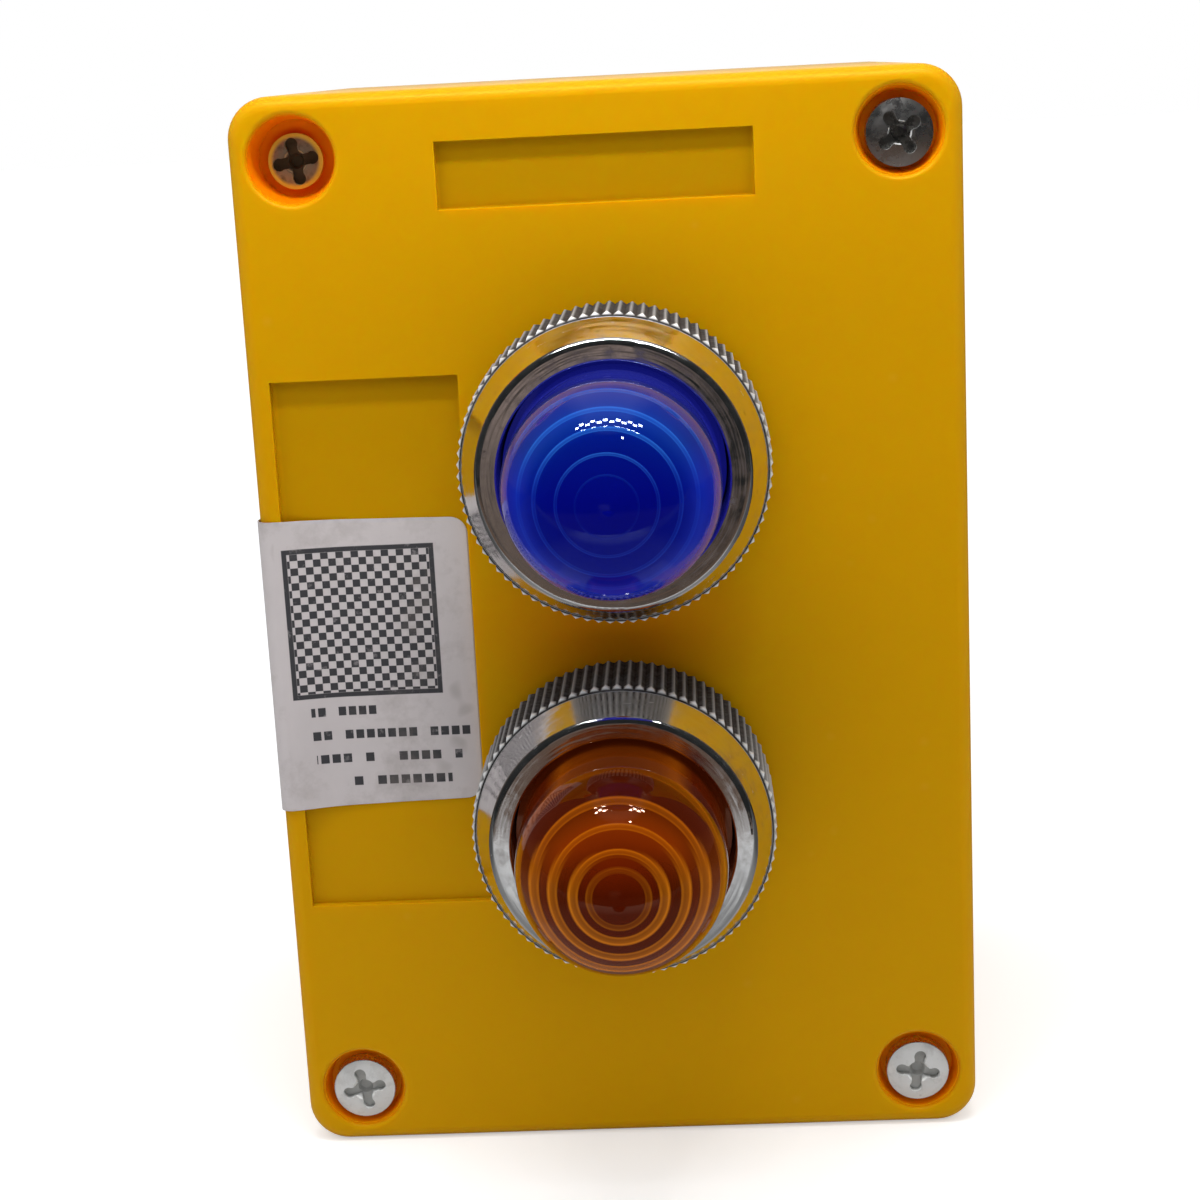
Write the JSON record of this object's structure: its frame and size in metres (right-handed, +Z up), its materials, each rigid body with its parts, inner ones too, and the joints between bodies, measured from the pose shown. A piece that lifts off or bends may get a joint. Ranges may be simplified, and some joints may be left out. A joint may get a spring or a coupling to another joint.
{
  "type": "two-button control station",
  "caption": "Upright wall-mounted control box with a domed blue illuminated pushbutton above a domed amber one, both in knurled bezels.",
  "frame": {"origin": "centre of the rear mounting face", "axes": "+Z up along the long side, -Y out of the front face towards the user, +X to the right as seen from the front"},
  "size_m": [0.072, 0.0934, 0.111],
  "materials": {
    "yellow_plastic": "satin moulded",
    "black_rubber": "matt",
    "zinc_steel": "zinc plated",
    "brassy_steel": "dulled",
    "chrome": "polished",
    "blue_lens_plastic": "clear tinted",
    "amber_lens_plastic": "clear tinted",
    "black_plastic": "matt",
    "white_plastic": "matt",
    "grey_plastic": "matt",
    "red_plastic": "matt",
    "brass": "plain",
    "spring_steel": "bright",
    "bulb_glass": "clear"
  },
  "bodies": {
    "station": {"base": "yellow_plastic", "lid": "yellow_plastic", "lid_seal": "black_rubber", "lid_screws": "zinc_steel", "odd_lid_screw": "brassy_steel", "cable_grommet": "black_rubber", "blue_bezel": "chrome", "blue_panel_gasket": "black_rubber", "blue_barrel": "black_plastic", "blue_lock_washer": "zinc_steel", "blue_locknut": "zinc_steel", "blue_return_spring": "spring_steel", "blue_lamp_bulb": "bulb_glass", "blue_lamp_cap": "brass", "blue_lamp_holder": "white_plastic", "blue_mounting_collar": "white_plastic", "blue_contact_housing": "white_plastic", "blue_rear_cover": "grey_plastic", "blue_terminal_strips": "brass", "blue_terminal_screws": "zinc_steel", "amber_bezel": "chrome", "amber_panel_gasket": "black_rubber", "amber_barrel": "black_plastic", "amber_lock_washer": "zinc_steel", "amber_locknut": "zinc_steel", "amber_return_spring": "spring_steel", "amber_lamp_bulb": "bulb_glass", "amber_lamp_cap": "brass", "amber_lamp_holder": "white_plastic", "amber_mounting_collar": "white_plastic", "amber_contact_housing": "white_plastic", "amber_rear_cover": "grey_plastic", "amber_terminal_strips": "brass", "amber_terminal_screws": "zinc_steel"},
    "blue_button": {"blue_lens": "blue_lens_plastic", "blue_plunger": "white_plastic", "blue_plunger_clip": "spring_steel", "blue_contact_carrier": "red_plastic", "blue_contact_bridges": "brass", "blue_contact_springs": "spring_steel"},
    "amber_button": {"amber_lens": "amber_lens_plastic", "amber_plunger": "white_plastic", "amber_plunger_clip": "spring_steel", "amber_contact_carrier": "red_plastic", "amber_contact_bridges": "brass", "amber_contact_springs": "spring_steel"}
  },
  "joints": [
    {"name": "blue_press", "type": "slide", "parent": "station", "child": "blue_button", "axis": [0, 1, 0], "range_m": [0, 0.004], "stiffness_N_per_m": 800, "springref_m": -0.003, "deforming": ["blue_return_spring"]},
    {"name": "amber_press", "type": "slide", "parent": "station", "child": "amber_button", "axis": [0, 1, 0], "range_m": [0, 0.004], "stiffness_N_per_m": 800, "springref_m": -0.003, "deforming": ["amber_return_spring"]}
  ]
}
